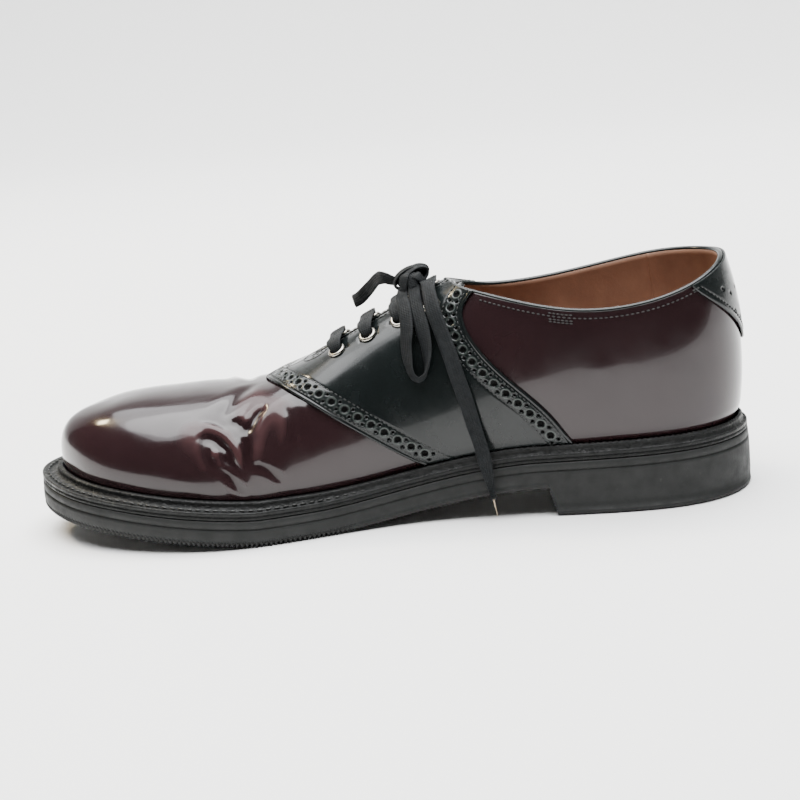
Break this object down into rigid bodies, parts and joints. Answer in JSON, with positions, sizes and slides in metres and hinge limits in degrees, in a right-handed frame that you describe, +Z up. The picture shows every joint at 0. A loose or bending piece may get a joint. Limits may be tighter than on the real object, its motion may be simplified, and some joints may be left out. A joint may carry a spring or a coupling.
{
  "type": "saddle shoe",
  "caption": "Right-foot low lace-up shoe with a dark saddle over a burgundy upper, perforated bands, a ribbed welt and a rubber sole with a low block heel.",
  "frame": {"origin": "on the floor, in the middle of the shoe's length and width", "axes": "+Y towards the heel, so the toe faces -Y; +X towards the inner side of the foot; +Z up"},
  "size_m": [0.1166, 0.305, 0.1026],
  "materials": {
    "burgundy_leather": "polished, high gloss",
    "black_leather": "polished, high gloss",
    "tan_leather": "matt lining leather",
    "black_welting": "dull, ribbed",
    "dark_grey_rubber": "matt",
    "nickel_plated_brass": "bright nickel plate",
    "black_cotton": "woven, flat"
  },
  "bodies": {
    "root": {"outsole": "dark_grey_rubber", "welt": "black_welting", "insole": "tan_leather", "upper": "burgundy_leather", "saddle": "black_leather", "heel_tab": "black_leather", "tongue": "black_leather", "eyelet_inner_1": "nickel_plated_brass", "eyelet_inner_2": "nickel_plated_brass", "eyelet_inner_3": "nickel_plated_brass", "eyelet_inner_4": "nickel_plated_brass", "eyelet_outer_1": "nickel_plated_brass", "eyelet_outer_2": "nickel_plated_brass", "eyelet_outer_3": "nickel_plated_brass", "eyelet_outer_4": "nickel_plated_brass", "lace_bar_1": "black_cotton", "lace_bar_2": "black_cotton", "lace_bar_3": "black_cotton", "lace_bar_4": "black_cotton", "lace_knot": "black_cotton", "lace_loop_inner": "black_cotton", "lace_end_inner": "black_cotton", "lace_loop_outer": "black_cotton", "lace_end_outer": "black_cotton"}
  },
  "joints": []
}
